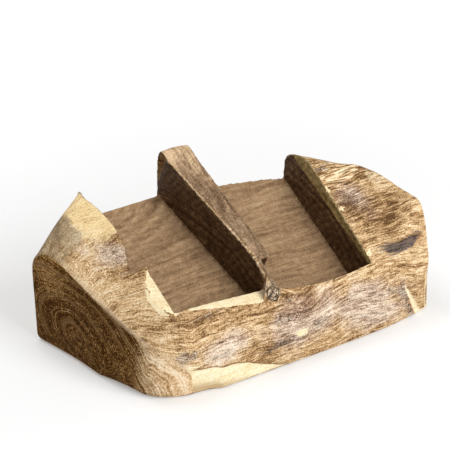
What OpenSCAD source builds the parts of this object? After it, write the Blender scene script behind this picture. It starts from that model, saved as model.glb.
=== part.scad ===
// Wine rest for two reclining bottles, carved from one chunk of root wood.
// The log lies along X, the bottle necks point to the back (+Y) and the foot stands on Z = 0.

/* [Block] */
// overall length along the log, mm
block_w = 416; // [395:1:470]
// overall depth, front to back, mm
block_d = 216; // [206:1:250]
// how far the front of the left end is raked inwards, mm
left_rake = 40; // [10:1:50]
// how far the back of the right end is raked inwards, mm
right_rake = 6; // [0:1:30]
// rounding of the two ends, mm
end_r = 5; // [3:0.5:10]

/* [Heights above the table] */
// top of the left end, mm
left_end_h = 130; // [110:1:135]
// crest of the left cheek, beside its trough, mm
left_crest_h = 178; // [160:1:190]
// crest of the divider, mm
divider_crest_h = 199; // [180:1:215]
// crest of the right cheek, beside its trough, mm
right_crest_h = 165; // [145:1:175]
// top of the right end, mm
right_end_h = 144; // [128:1:155]
// front lip at the left trough, mm
left_lip_h = 97; // [86:1:104]
// front lip at the divider, mm
divider_lip_h = 86; // [76:1:92]
// front lip at the right trough, mm
right_lip_h = 79; // [70:1:86]

/* [Troughs] */
// slope of the trough floors, degrees
trough_tilt = 28; // [24:1:30]
// thickness of the left cheek at the front of its trough, mm
left_cheek_w = 83; // [70:1:100]
// width of the left trough at its front wall, mm
left_front_w = 118; // [104:1:122]
// width of the left trough at the back, mm
left_back_w = 104; // [94:1:112]
// step cut into the side of the left trough, mm
left_step = 18; // [8:1:22]
// how far behind its front wall that step is, mm
step_at = 64; // [50:1:80]
// swell of the left cheek into its trough, behind that step, mm
horn_swell = 11; // [0:1:14]
// wood under the left trough at its front wall, mm
left_floor_h = 52; // [40:1:54]
// height of that front wall at the divider, where the lip is cut lowest, mm
left_wall_l = 32; // [29:1:35]
// thickness of the divider at the front, mm
divider_front_w = 19; // [17:1:30]
// thickness of the divider at the back, mm
divider_back_w = 36; // [24:1:40]
// how much thinner the neck is at the front of the divider, mm
neck_in = 9; // [4:0.5:9]
// length of that neck, mm
neck_l = 34; // [24:1:40]
// width of the right trough at its front wall, mm
right_front_w = 114; // [100:1:118]
// width of the right trough at the back, mm
right_back_w = 131; // [110:1:134]
// wood under the right trough at its front wall, mm
right_floor_h = 42; // [32:1:44]
// how far that front wall bows forwards, mm
right_bow = 6; // [0:0.5:8]

/* [Knot] */
// diameter of the dead knot at the foot of the divider, mm
knot_d = 13; // [8:0.5:13]
// depth of the knot's hole, mm
knot_l = 12; // [9:1:14]
// gap around the knot in its hole, mm
knot_gap = 0.3; // [0.2:0.05:0.6]

/* [Felt pads] */
// diameter of a felt pad, mm
pad_d = 26; // [18:1:30]
// thickness of a felt pad, mm
pad_t = 1.5; // [1.5:0.5:4]
// distance from the edge of the foot to a pad, mm
pad_margin = 14; // [10:1:20]

/* [Hidden] */
$fn = 96;

half_w = block_w / 2;
front = -block_d / 2;
back = block_d / 2;

// sides of the troughs, from left to right, at the front and at the back
left_side = -half_w + left_cheek_w;
divider_left = left_side + left_front_w;
divider_right = divider_left + divider_front_w;
right_side = divider_right + right_front_w;
left_side_back = left_side - left_step;
divider_left_back = left_side_back + left_back_w;
divider_right_back = divider_left_back + divider_back_w;
right_side_back = divider_right_back + right_back_w;

// The block is drawn through five cross sections: left end, left cheek, divider, right cheek and right end.
// At each one, how far the foot, knee and lip stand back from the front of the block.
foot_in = [42, 11, 4, 0, 6];
knee_in = [33, 12, 6, 0, 9];
lip_in = [38, 32, 29, 15, 36];
// How far the crest, shoulder and heel stand forward of the back of the block.
crest_in = [32, 9, 9, 62, 104];
shoulder_in = [4, 0, 0, 20, 66];
heel_in = [4, 0, 0, 16, 56];
// Heights of the knee, lip and crest above the table, and how far the shoulder lies below the crest.
// The brow lies a share of the way from lip to crest, and rises above the straight line between them.
left_end_lip_h = 63;
right_end_lip_drop = 8;
knee_h = [53, 35, 33, 39, 61];
lip_h = [left_end_lip_h, left_lip_h, divider_lip_h, right_lip_h, right_end_h - right_end_lip_drop];
crest_h = [left_end_h, left_crest_h, divider_crest_h, right_crest_h, right_end_h];
shoulder_drop = [22, 18, 18, 13, 20];
brow_share = 0.2;
brow_rise = [0, 0, 13, 0, 0];
// Place of each section along the log, at its front and at its back.
front_x = [-half_w + end_r + left_rake, left_side, (divider_left + divider_right) / 2,
    right_side, half_w - end_r];
back_x = [-half_w + end_r, left_side_back, (divider_left_back + divider_right_back) / 2,
    right_side_back, half_w - end_r - right_rake];

// A section holds x at its front and back, then [y, z] of each corner:
// foot, knee, lip, brow, crest, shoulder and heel.
sections = [for (i = [0:4])
    let (lip = [front + lip_in[i], lip_h[i]], crest = [back - crest_in[i], crest_h[i]])
    [front_x[i], back_x[i],
        [front + foot_in[i], pad_t],
        [front + knee_in[i], knee_h[i]],
        lip,
        lip + (crest - lip) * brow_share + [0, brow_rise[i]],
        crest,
        [back - shoulder_in[i], crest_h[i] - shoulder_drop[i]],
        [back - heel_in[i], pad_t]]];
left_end = sections[0];
right_end = sections[4];

// rounding of the corners of a section, and the share of an edge that it may take up
corner_r = [4, 8, 12, 12, 14, 18, 6];
corner_n = len(corner_r);
corner_share = 0.45;
corner_steps = 4;
span_steps = 6;
edge_steps = 5;
end_steps = 3;

// past either end, the sections carry on in a straight line
function section(i) =
    let (n = len(sections) - 1)
    i < 0 ? 2 * sections[0] - sections[1] :
    i > n ? 2 * sections[n] - sections[n - 1] : sections[i];

// slope of a curve at a value between two steps, level where the curve turns, so that it never overshoots
function slope(u, v) = u * v <= 0 ? 0 : 2 * u * v / (u + v);
// smooth curve through the values b and c, with a before and d after them
function smooth(a, b, c, d, t) =
    is_list(b) ? [for (k = [0:len(b) - 1]) smooth(a[k], b[k], c[k], d[k], t)] :
    b * (2 * t ^ 3 - 3 * t ^ 2 + 1) + slope(b - a, c - b) * (t ^ 3 - 2 * t ^ 2 + t)
    + c * (3 * t ^ 2 - 2 * t ^ 3) + slope(c - b, d - c) * (t ^ 3 - t ^ 2);
// the left cheek is planed straight from its end to its trough, and the rest is rounded
function between(i, t) =
    i == 0 ? sections[0] + (sections[1] - sections[0]) * t :
    let (a = section(i - 1), b = section(i), c = section(i + 1), d = section(i + 2))
    [for (k = [0:corner_n + 1]) smooth(a[k], b[k], c[k], d[k], t)];

function towards(p, q, r) = p + (q - p) * min(corner_share, r / norm(q - p));
function bend(a, p, b, r) =
    let (u = towards(p, a, r), v = towards(p, b, r))
    [for (j = [0:corner_steps]) let (t = j / corner_steps)
        (1 - t) ^ 2 * u + 2 * t * (1 - t) * p + t ^ 2 * v];
function joined(arcs) =
    [for (k = [0:corner_n - 1]) let (u = arcs[k][corner_steps], v = arcs[(k + 1) % corner_n][0])
        each concat(arcs[k], [for (j = [1:edge_steps - 1]) u + (v - u) * j / edge_steps])];
function outline(s) =
    let (n = corner_n)
    joined([for (k = [0:n - 1]) bend(s[2 + (k + n - 1) % n], s[2 + k], s[2 + (k + 1) % n], corner_r[k])]);

// ring of 3-D points for a section, drawn in by inset and moved along the log by shift
function ring(s, inset, shift) =
    let (flat = outline(s), mid = [(s[2][0] + s[8][0]) / 2, s[6][1] / 2], y0 = s[2][0], y1 = s[8][0])
    [for (q = flat) let (p = q + inset * (mid - q) / norm(mid - q))
        [shift + s[0] + (s[1] - s[0]) * (q[0] - y0) / (y1 - y0), p[0], p[1]]];

// the ends are rounded over in a quarter turn, which opens on the left and closes on the right
opening = [for (j = [0:end_steps - 1]) 90 * j / end_steps];
closing = [for (j = [end_steps - 1:-1:0]) 90 * j / end_steps];
rings = concat(
    [for (a = opening) ring(left_end, end_r * (1 - sin(a)), -end_r * cos(a))],
    [for (i = [0:len(sections) - 2]) for (j = [0:span_steps - 1]) ring(between(i, j / span_steps), 0, 0)],
    [ring(right_end, 0, 0)],
    [for (a = closing) ring(right_end, end_r * (1 - sin(a)), end_r * cos(a))]);
ring_n = len(rings[0]);
last = len(rings) - 1;

module rough_block() {
    polyhedron(
        points = [for (r = rings) each r],
        faces = concat(
            [[for (k = [ring_n - 1:-1:0]) k]],
            [for (i = [0:last - 1]) for (k = [0:ring_n - 1])
                let (a = i * ring_n + k, b = i * ring_n + (k + 1) % ring_n)
                each [[a, b, a + ring_n], [b, b + ring_n, a + ring_n]]],
            [[for (k = [0:ring_n - 1]) last * ring_n + k]]));
}

// Corner of each trough between its floor and its front wall, at the divider.
left_seat_in = 63;
right_seat_in = 56;
left_seat = [divider_left, front + left_seat_in, left_floor_h];
right_seat = [divider_right, front + right_seat_in, right_floor_h];
// length of the troughs along the floor, how far they are cut past the block, and the height of the cut
trough_l = (back - left_seat[1]) / cos(trough_tilt);
past = 60;
cut_h = 160;
// how much further forward the right end of the right trough's front wall is
right_skew = 10;

// how far the two sides of the divider run to the left, from front to back
left_run = divider_left_back - divider_left;
right_run = divider_right_back - divider_right;
// the swell of the left cheek, from the back of the trough to its step
curve_steps = 6;
swell = [for (j = [curve_steps:-1:0]) let (t = j / curve_steps)
    [left_side_back - divider_left + horn_swell * sin(180 * t), step_at + (trough_l - step_at) * t]];
// the bowed front wall of the right trough, from its right side to the neck
bow_l = right_front_w + neck_in;
bow = [for (j = [curve_steps:-1:1]) let (t = j / curve_steps)
    [bow_l * t - neck_in, -right_skew * t - right_bow * sin(180 * t)]];

left_plan = concat([[0, 0],
    [left_run, trough_l],
    [left_run, trough_l + past],
    [left_side_back - divider_left, trough_l + past]],
    swell,
    [[left_side - divider_left, step_at],
    [left_side - divider_left, 0]]);
right_plan = concat([[-neck_in, 0],
    [-neck_in + left_run * neck_l / trough_l, neck_l],
    [right_run * neck_l / trough_l, neck_l],
    [right_run, trough_l],
    [right_run, trough_l + past],
    [right_side_back - divider_right, trough_l + past],
    [right_side_back - divider_right, trough_l]],
    bow);

module trough(seat, plan) {
    translate(seat) rotate([trough_tilt, 0, 0]) linear_extrude(cut_h) polygon(plan);
}

// The left lip is cut flat towards the divider, in a wedge that ends on a slant beside the knot.
lip_dip = [6, 10, 0];
lip_d = 32;
lip_slant = 22;
lip_at = left_seat + left_wall_l * [0, -sin(trough_tilt), cos(trough_tilt)];
lip_plan = [[0, 0], [-left_front_w, 0], [-left_front_w, -lip_d], [-lip_slant, -lip_d]];

module lip_cut() {
    translate(lip_at) rotate(lip_dip) linear_extrude(cut_h) polygon(lip_plan);
}

// The knot lies on the lip in front of the divider's neck, square to the lip's slope.
knot_side = 1;
knot_in = 31;
knot_drop = 4;
knot_lean = 38;
// how far the knot's bar stands out of the wood before it is trimmed to the surface
knot_proud = 30;
knot_at = [divider_left + knot_side, front + knot_in, divider_lip_h - knot_drop];

module knot_bar(d, depth) {
    translate(knot_at) rotate([knot_lean, 0, 0]) translate([0, 0, -depth])
        cylinder(d = d, h = depth + knot_proud);
}

module root_block() color("peru") difference() {
    rough_block();
    trough(left_seat, left_plan);
    trough(right_seat, right_plan);
    lip_cut();
    knot_bar(knot_d + 2 * knot_gap, knot_l);
}

module knot_plug() color("dimgray") intersection() {
    rough_block();
    knot_bar(knot_d, knot_l);
}

pad_in = pad_d / 2 + pad_margin;

module felt_pad(x, y) color("saddlebrown") translate([x, y, 0]) cylinder(d = pad_d, h = pad_t);
module felt_pad_front_left() felt_pad(left_side, front + foot_in[1] + pad_in);
module felt_pad_front_right() felt_pad(right_end[0] - pad_in, right_end[2][0] + pad_in);
module felt_pad_rear_left() felt_pad(left_end[1] + pad_in, left_end[8][0] - pad_in);
module felt_pad_rear_right() felt_pad(right_end[1] - pad_in, right_end[8][0] - pad_in);

root_block();
knot_plug();
felt_pad_front_left();
felt_pad_front_right();
felt_pad_rear_left();
felt_pad_rear_right();
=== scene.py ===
"""Looks of a two-bottle wine rest carved from root wood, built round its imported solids.

Lengths in this script are millimetres in the part's frame, and become metres when a mesh is made.
"""

import itertools
import math
from functools import partial, reduce

import bmesh
import bpy
import numpy as np
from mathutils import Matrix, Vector
from mathutils.bvhtree import BVHTree


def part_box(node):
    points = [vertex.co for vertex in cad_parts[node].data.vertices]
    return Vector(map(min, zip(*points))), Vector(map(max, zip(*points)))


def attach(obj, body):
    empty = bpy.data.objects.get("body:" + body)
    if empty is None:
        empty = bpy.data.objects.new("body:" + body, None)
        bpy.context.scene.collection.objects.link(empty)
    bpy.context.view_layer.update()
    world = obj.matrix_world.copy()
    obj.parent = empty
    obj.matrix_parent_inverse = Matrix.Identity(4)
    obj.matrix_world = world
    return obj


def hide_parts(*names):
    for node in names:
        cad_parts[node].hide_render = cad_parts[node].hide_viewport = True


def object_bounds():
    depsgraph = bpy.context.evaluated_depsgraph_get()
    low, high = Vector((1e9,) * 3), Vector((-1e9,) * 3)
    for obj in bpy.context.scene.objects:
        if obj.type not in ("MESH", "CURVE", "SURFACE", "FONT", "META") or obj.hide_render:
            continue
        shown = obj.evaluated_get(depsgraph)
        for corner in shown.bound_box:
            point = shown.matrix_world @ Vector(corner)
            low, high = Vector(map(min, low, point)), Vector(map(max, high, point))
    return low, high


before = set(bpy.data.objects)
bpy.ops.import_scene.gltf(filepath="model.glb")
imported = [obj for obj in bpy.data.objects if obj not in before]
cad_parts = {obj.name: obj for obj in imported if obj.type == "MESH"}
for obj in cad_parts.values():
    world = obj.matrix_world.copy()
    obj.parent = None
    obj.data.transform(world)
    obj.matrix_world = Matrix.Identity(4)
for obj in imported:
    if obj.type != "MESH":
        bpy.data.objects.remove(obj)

cad_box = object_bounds()

MM = 0.001

# Camera of the photograph
CAMERA_TARGET = (-23, -10, 143)
CAMERA_AZIMUTH = -34
CAMERA_ELEVATION = 29
CAMERA_DISTANCE = 1500
CAMERA_LENS = 109.2
SENSOR_WIDTH = 36

# Studio: lamps (place, size, power), their aim, the world's light and the floor
LAMPS = {"key": ((380, -1300, 1100), 1100, 22), "top": ((-350, 650, 1500), 900, 9)}
LAMP_AIM = (0, 0, 80)
WORLD_STRENGTH = 0.4
FLOOR_REACH = 6000
FLOOR_GLOW_SHARE = 0.14

# Troughs: slope and length of the floors, and the corner of floor and front wall at the divider
TILT = math.radians(28)
TROUGH_L = 173.3
LEFT_SEAT = np.array([-7.0, -45.0, 52.0])
RIGHT_SEAT = np.array([12.0, -52.0, 42.0])

# Plan of the left trough: length of its narrow front, widths there and behind, bow of the wall behind
LEFT_NARROW_L = 64
LEFT_FRONT_W = 118
LEFT_BACK_W = 136
LEFT_BOW = 11

# Plan of the right trough: width and flare, skew and bow of its front wall
RIGHT_W = 114
RIGHT_FLARE = 2
RIGHT_SKEW = 10
RIGHT_BOW = 6

# Divider: how far its two sides lean to the left towards the back, and the foot cut out beside the knot
DIVIDER_LEFT_LEAN = 32
DIVIDER_RIGHT_LEAN = 15
FOOT_L = 34
FOOT_W = 9

# How near a trough's walls and floor a point of the rough block counts as being on them
WALL_SKIN = 1.3
FLOOR_SKIN = 1.6

# Knot: place on the surface, size, its own directions, and the points of its mesh
KNOT_AT = np.array([-6.0, -77.0, 82.0])
KNOT_LEAN = math.radians(38)
KNOT_R = 6.5
KNOT_DEPTH = 12.0
KNOT_SIDE = np.array([1.0, 0.0, 0.0])
KNOT_UP = np.array([0.0, math.cos(KNOT_LEAN), math.sin(KNOT_LEAN)])
KNOT_AXIS = np.array([0.0, -math.sin(KNOT_LEAN), math.cos(KNOT_LEAN)])
KNOT_AROUND = 80
KNOT_RINGS = 16
KNOT_WALL_STEPS = (0.35, 0.7, 1.0)

# Felt pads: thickness, rounding of their edges, and points round them
PAD_T = 1.5
PAD_SOFT = 0.55
PAD_AROUND = 72

# Cells of the block's mesh, and the room it keeps to the CAD box
VOXEL = 1.3
BOX_ROOM = 0.05

# Bark line over the pale facet at the lower left of the front: x, z
BARK_X = [-126, -119, -99, -77, -58, -45, -26, -9, 8]
BARK_Z = [38, 36, 32, 28, 25, 20, 13, 6, -1]

# Torn facet on the left cheek's inner edge: y, and how wide it is there
TORN_Y = [-76, -69, -62, -57, -50, -46, -41, -37, -27, -19, -12]
TORN_W = [0.5, 4.0, 9.5, 11.5, 12, 13.5, 15, 12, 10.5, 5.5, 1.5]
TORN_EDGE = -122
TORN_TOP = 170

# Cut lip before the left trough: a point of it and its normal
LIP_AT = np.array([-7.0, -60.0, 80.3])
LIP_N = np.array([0.177, -0.104, 0.978])

# Pale corner facet at the lower right: a point of it, its normal, the sliver beside it by height
CORNER_AT = np.array([165.0, -104.3, 44.0])
CORNER_N = np.array([0.25, -0.96, 0.07]) / np.linalg.norm([0.25, -0.96, 0.07])
SLIVER_Z = [0, 12, 33, 47]
SLIVER_X = [186, 180, 170, 163]
SLIVER_W = [15, 12, 6, 3]

# Dents, dark inside: place, radius, depth
DENTS = [
    (KNOT_AT + 8.5 * KNOT_SIDE - 3 * KNOT_UP, 3.0, 2.2), (KNOT_AT + 3 * KNOT_SIDE - 9 * KNOT_UP, 3.0, 1.8),
    (KNOT_AT + 10 * KNOT_SIDE + 6 * KNOT_UP, 3.0, 2.4), (KNOT_AT + 8 * KNOT_SIDE - 9 * KNOT_UP, 2.0, 1.4),
    ((-155, 66.5, 152.5), 1.5, 0.7), ((-3, -90, 60), 2.2, 1.6), ((6.6, -94, 53), 2.4, 1.6),
    ((16, -94, 53), 2.0, 1.2), ((-42, -96.5, 43), 2.0, 1.0), ((163, -104, 50), 1.8, 1.0),
    ((173, -104, 41), 1.6, 0.8),
]
# Ragged chips in the top edge of the right trough, pale inside: place, radius, depth
CHIPS = [((129.4, 2, 137.5), 4.6, 1.8), ((132, -22, 124), 5.2, 2.0), ((130, -76, 91), 4.6, 2.0)]

# Ridge over the left end, from the back to the bark line
RIDGE = [(-203, 95, 126), (-191, 55, 119), (-186, 31, 108), (-181.5, 9, 98), (-175, -18, 86), (-169, -41, 76),
         (-161, -65, 67), (-146, -80.5, 55), (-134, -89, 44), (-122, -96, 34)]
# Soft edges at the right end's top: line, rounds of smoothing
SOFT_CORNERS = [
    ([(135, 46, 164), (165, 30, 157), (198, 4, 143)], 12),
    ([(203, 0, 140), (203, -70, 138)], 14),
]
# Slight swellings of the right cheek's shoulder and top, the left cheek's back and the foot at the left:
# centre, reach, how far they go
SWELLINGS = [
    ((202, -76, 112), (18, 28, 34), (5.0, -1.5, 0)), ((181, 15, 147), (22, 14, 14), (0.8, 0.4, 4.0)),
    ((-174, 89, 146), (34, 22, 32), (-2.3, 0.4, 2.5)),
    ((-142, -72, 10), (34, 24, 30), (-4.2, -4.6, 0)), ((-178, -20, 8), (30, 42, 34), (-4.0, -1.2, 0)),
]

# Pith of the log, the radius for a fibre's angle about it, and the fibres' run along the log
PITH_Y = 24
PITH_Z = 26
FIBRE_R = 100.0
RUN_X = [-170, -150, -130, -115, -100, -70, -40, 0, 40, 80, 120, 160, 200]
RUN_SIDE = [-25, -14, -5, 0, -3, -10, -14.5, -17, -17, -15.5, -13, -11, -7]
KNOT_RUN = -17
# Middle of the growth rings on the left end, the direction in which they are drawn out, and how much
RINGS_Y = 29
RINGS_Z = 31
RINGS_ALONG = (-0.92, -0.40)
RINGS_STRETCH = 1.6

# Zones of the wood: centre, reach, share
SWIRLS = [
    ((34, -94, 58), (26, 24, 15), 9), ((74, -100, 40), (18, 24, 10), -4), ((-96, -85, 80), (34, 20, 12), -5),
    ((120, -100, 60), (30, 30, 14), 3), ((-60, -96, 50), (24, 20, 9), 4), ((-150, 10, 125), (16, 24, 16), 7),
    ((60, 108, 60), (30, 20, 22), 8), ((-100, 108, 90), (30, 20, 20), -8),
]
PALE_ZONES = [
    ((19, -101.5, 35.7), (11, 10, 4.4), 1.0), ((-125, -94, 38), (14, 10, 5), 0.9),
    # On the next line, the zone at (-159, -64, 66) lies on the ridge and is painted highlight.
    ((130, 62, 156), (6, 28, 7), 1.0), ((-159, -64, 66), (16, 14, 5), 0.6),
    ((188, -2, 143), (16, 14, 10), 0.6), ((160, 14, 148), (24, 8, 6), 0.6),
]
GREY_ZONES = [
    ((-6, -102, 32), (22, 12, 6), 1.0), ((-24, -101, 29), (16, 12, 5), 0.85),
    ((42, -101, 41), (22, 12, 8), 0.65), ((-125, -91, 52), (20, 16, 6), 0.95),
    ((-80, -97, 40), (30, 10, 6), 0.4), ((-35, -100, 31), (20, 10, 5), 0.4),
    ((-96, -80, 86), (24, 10, 4), 0.8), ((-157, 28, 130), (14, 16, 12), 0.28),
    ((-150, 13, 126), (12, 12, 12), 0.4), ((-142, 20, 137), (12, 18, 12), 0.3),
    ((-146, -1, 122), (10, 10, 10), 0.45), ((8, -84, 74), (16, 9, 8), 0.35),
    ((-3, -92, 58), (22, 16, 8), 0.5), ((150, -103, 46), (16, 10, 8), 0.6),
    ((142, 26, 152), (18, 7, 5), 0.95), ((110, -104, 30), (40, 12, 9), 0.6),
    ((80, -103, 52), (30, 12, 6), 0.45),
]
ROSY_ZONES = [
    ((20, -100, 50), (70, 24, 30), 0.92), ((100, -102, 45), (60, 24, 26), 0.8),
    ((160, -104, 36), (30, 20, 22), 0.6), ((-66, -96, 52), (44, 18, 22), 0.72),
    ((-150, 25, 132), (22, 30, 18), 0.75), ((-171, 48, 131), (14, 16, 12), 0.65),
    ((150, -20, 127), (30, 34, 22), 0.55), ((-20, 20, 160), (20, 60, 40), 0.3),
    ((120, -106, 24), (60, 16, 18), 0.95),
]
TONE_ZONES = [
    ((145, -16, 128), (24, 22, 14), -0.4), ((164, -52, 113), (38, 30, 15), -0.34),
    ((-170, 48, 132), (15, 17, 13), 0.16), ((110, -100, 60), (54, 16, 18), -0.21),
    ((-142, -76, 72), (22, 16, 14), 0.2), ((-43, -97, 48), (24, 12, 14), 0.1),
    ((146, 17, 149), (16, 14, 8), 0.3), ((178, -3, 140), (15, 14, 10), -0.14),
    ((8, -84, 74), (15, 9, 7), -0.15), ((-143, 14, 134), (13, 20, 14), -0.18),
    # On the next line, the zone at (-176, 77, 145) darkens the middle of the painted shade on the left cheek.
    ((-10, -101, 31), (20, 12, 7), -0.13), ((-176, 77, 145), (12, 16, 9), -0.15),
    ((168, -76, 104), (40, 14, 9), 0.06), ((-163, 0, 105), (24, 40, 22), 0.08),
    ((-160, 42, 134), (18, 14, 11), 0.16), ((-30, -96, 60), (60, 16, 22), 0.06),
    ((-150, -50, 92), (18, 30, 16), 0.1), ((-136, -6, 127), (9, 12, 12), -0.2),
    ((110, -104, 30), (70, 16, 14), 0.04), ((184, -93, 78), (16, 14, 12), 0.08),
    ((26, -90, 66), (30, 14, 13), -0.2), ((165, -2, 142), (24, 12, 12), 0.02),
]
# Painted light on the rounded top back of the left end: centre, reach, share
END_PAINTED_LIGHT = [((-203, 85, 118), (34, 40, 30), 0.42), ((-200, 66, 92), (30, 22, 20), 0.2)]
BOLD_ZONES = [((158, 10, 146), (50, 20, 12), 1.0)]
REDDISH_ZONES = [((30, -92, 64), (30, 18, 14), 1.0)]

# Dark oblong stain on the right cheek: middle, half length and half width, and its slope
STAIN_AT = np.array([171.5, -86.0, 93.5])
STAIN_L = 24
STAIN_W = 6.8
STAIN_SLOPE = 0.17


# Small numeric helpers

def ramp(value, low, high):
    """Smooth step from 0 at low to 1 at high."""
    t = np.clip((value - low) / (high - low), 0, 1)
    return t * t * (3 - 2 * t)


def lattice(ix, iy, iz, seed):
    """A repeatable random number from -1 to 1 for each whole-numbered point."""
    h = (ix * 374761393 + iy * 668265263 + iz * 1440662683 + seed * 974634391) & 0xFFFFFFFF
    h = ((h ^ (h >> 13)) * 1274126177) & 0xFFFFFFFF
    h = ((h ^ (h >> 16)) * 668265263) & 0xFFFFFFFF
    return ((h ^ (h >> 15)) & 0xFFFFFF) / float(0x7FFFFF) - 1


def noise(points, size, seed, octaves=1):
    """Smooth noise from about -1 to 1, with lumps of that size (one length, or one for each axis)."""
    total, share, weight = 0, 1.0, 0.0
    scaled = points / np.asarray(size, float)
    for k in range(octaves):
        q = scaled * 2.0 ** k + 17.31 * k
        cell = np.floor(q).astype(np.int64)
        f = q - cell
        f = f * f * f * (f * (f * 6 - 15) + 10)
        value = 0
        for corner in itertools.product((0, 1), repeat=3):
            x, y, z = (cell + corner).T
            wx, wy, wz = np.where(corner, f, 1 - f).T
            value = value + lattice(x, y, z, seed + k) * wx * wy * wz
        total = total + value * share
        weight += share
        share *= 0.5
    return total / weight


def unit(vectors):
    return vectors / np.linalg.norm(vectors, axis=1)[:, None]


def blob(points, centre, radii):
    """1 at the centre, falling off to 0 over the radii."""
    q = (points - np.asarray(centre, float)) / np.asarray(radii, float)
    return np.exp(-(q * q).sum(1))


def strongest(points, zones):
    """The largest share that any of the zones has at each point."""
    best = np.zeros(len(points))
    for centre, radii, share in zones:
        best = np.maximum(best, share * blob(points, centre, radii))
    return best


def summed(points, zones):
    """The zones' shares at each point, added up."""
    return sum(share * blob(points, centre, radii) for centre, radii, share in zones)


def distance_to(points, line):
    """Distance of each point from a line through some points."""
    near = np.full(len(points), 1e9)
    line = np.asarray(line, float)
    for start, end in zip(line[:-1], line[1:]):
        d = end - start
        t = np.clip(((points - start) @ d) / (d @ d), 0, 1)
        near = np.minimum(near, np.linalg.norm(points - (start + t[:, None] * d), axis=1))
    return near


# Meshes

def relaxed(values, a, b, rounds, share):
    """Values at points, moved some rounds towards the mean of their neighbours, on edges from a to b."""
    count = len(values)
    degree = np.maximum(np.bincount(np.concatenate([a, b]), minlength=count), 1)
    columns = values.reshape(count, -1).T
    for _ in range(rounds):
        means = [(np.bincount(a, c[b], count) + np.bincount(b, c[a], count)) / degree for c in columns]
        columns = [c + (mean - c) * share for c, mean in zip(columns, means)]
    return np.stack(columns, 1).reshape(values.shape)


class Surface:
    """A mesh's points, normals and edges, which can be smoothed and moved."""

    def __init__(self, mesh):
        self.mesh = mesh
        co = np.zeros(len(mesh.vertices) * 3, np.float32)
        mesh.vertices.foreach_get("co", co)
        self.p = co.reshape(-1, 3).astype(float) / MM
        pairs = np.zeros(len(mesh.edges) * 2, np.int32)
        mesh.edges.foreach_get("vertices", pairs)
        self.a, self.b = pairs.reshape(-1, 2).T

    def smoothed(self, values, rounds, share=0.5):
        return relaxed(values, self.a, self.b, rounds, share)

    def eased(self, values, rounds, share):
        """Smooths only the points that have a share, in their own part of the mesh."""
        keep = np.where((share[self.a] > 0) | (share[self.b] > 0))[0]
        used, local = np.unique(np.concatenate([self.a[keep], self.b[keep]]), return_inverse=True)
        a, b = local.reshape(2, -1)
        out = values.copy()
        out[used] = relaxed(values[used], a, b, rounds, share[used])
        return out

    def write(self):
        self.mesh.vertices.foreach_set("co", (self.p * MM).astype(np.float32).ravel())
        self.mesh.update()

    def normals(self):
        self.write()
        n = np.zeros(len(self.p) * 3, np.float32)
        self.mesh.vertices.foreach_get("normal", n)
        return n.reshape(-1, 3).astype(float)

    def store(self, name, values, rounds=0):
        """Keeps values at the points, smoothed by some rounds, as an attribute for the material."""
        values = self.smoothed(values, rounds).astype(np.float32)
        kind, part = ("FLOAT_VECTOR", "vector") if values.ndim == 2 else ("FLOAT", "value")
        self.mesh.attributes.new(name, kind, "POINT").data.foreach_set(part, values.ravel())


def new_object(name, data):
    thing = bpy.data.objects.new(name, data)
    bpy.context.scene.collection.objects.link(thing)
    return thing


def mesh_of(name, points, faces):
    mesh = bpy.data.meshes.new(name)
    mesh.from_pydata([tuple(q) for q in np.asarray(points, float) * MM], [], faces)
    mesh.validate()
    mesh.update()
    return mesh


def band_faces(first, rows, around):
    """Faces between rows of points, each row a closed ring, from the first row's first point on."""
    faces = []
    for base in range(first, first + (rows - 1) * around, around):
        for k in range(around):
            m = (k + 1) % around
            faces.append((base + k, base + around + k, base + around + m, base + m))
    return faces


def applied(thing):
    """The object's mesh with its modifiers applied."""
    depsgraph = bpy.context.evaluated_depsgraph_get()
    return bpy.data.meshes.new_from_object(thing.evaluated_get(depsgraph))


# Rough block

def torn_height(x, y):
    """Height of the torn facet's plane."""
    return 121.0 + 0.487 * (y + 18) + 0.36 * (x + 125)


def torn_cutter():
    """A ragged prism that takes the edge off the left cheek beside its trough."""
    ys = np.arange(TORN_Y[0], TORN_Y[-1] + 0.1, 0.8)
    line = np.stack([ys, 0 * ys, 0 * ys], 1)
    wide = np.interp(ys, TORN_Y, TORN_W) + 2.2 * noise(line, 4.6, 71) + 1.5 * noise(line, 2.1, 72)
    wide = np.maximum(wide, 0.3)
    points = []
    for y, w in zip(ys, wide):
        border = -125 - w
        points += [(border, y, torn_height(border, y)), (TORN_EDGE, y, torn_height(TORN_EDGE, y)),
                   (TORN_EDGE, y, TORN_TOP), (border, y, TORN_TOP)]
    faces = band_faces(0, len(ys), 4)
    faces += [(3, 2, 1, 0), tuple(range(len(points) - 4, len(points)))]
    mesh = mesh_of("torn_cutter", points, faces)
    bm = bmesh.new()
    bm.from_mesh(mesh)
    bmesh.ops.recalc_face_normals(bm, faces=bm.faces)
    bm.to_mesh(mesh)
    bm.free()
    return new_object("torn_cutter", mesh)


def rough_copy():
    """The block's solid, welded, with the torn edge cut off, as one even mesh."""
    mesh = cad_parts["root_block"].data.copy()
    bm = bmesh.new()
    bm.from_mesh(mesh)
    bmesh.ops.remove_doubles(bm, verts=bm.verts, dist=0.002 * MM)
    for layer in list(bm.loops.layers.uv):
        bm.loops.layers.uv.remove(layer)
    bm.to_mesh(mesh)
    bm.free()
    thing = new_object("rough_copy", mesh)
    cutter = torn_cutter()
    cut = thing.modifiers.new("torn", "BOOLEAN")
    cut.operation = "DIFFERENCE"
    cut.solver = "EXACT"
    cut.object = cutter
    even = thing.modifiers.new("even", "REMESH")
    even.mode = "VOXEL"
    even.voxel_size = VOXEL * MM
    result = applied(thing)
    for gone in (thing, cutter):
        bpy.data.objects.remove(gone)
    result.materials.clear()
    return result


# Places on the block

def trough_place(p, seat):
    """Across, along and above a trough's floor, from its seat."""
    q = p - seat
    along = q[:, 1] * math.cos(TILT) + q[:, 2] * math.sin(TILT)
    above = -q[:, 1] * math.sin(TILT) + q[:, 2] * math.cos(TILT)
    return q[:, 0], along, above


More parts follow.
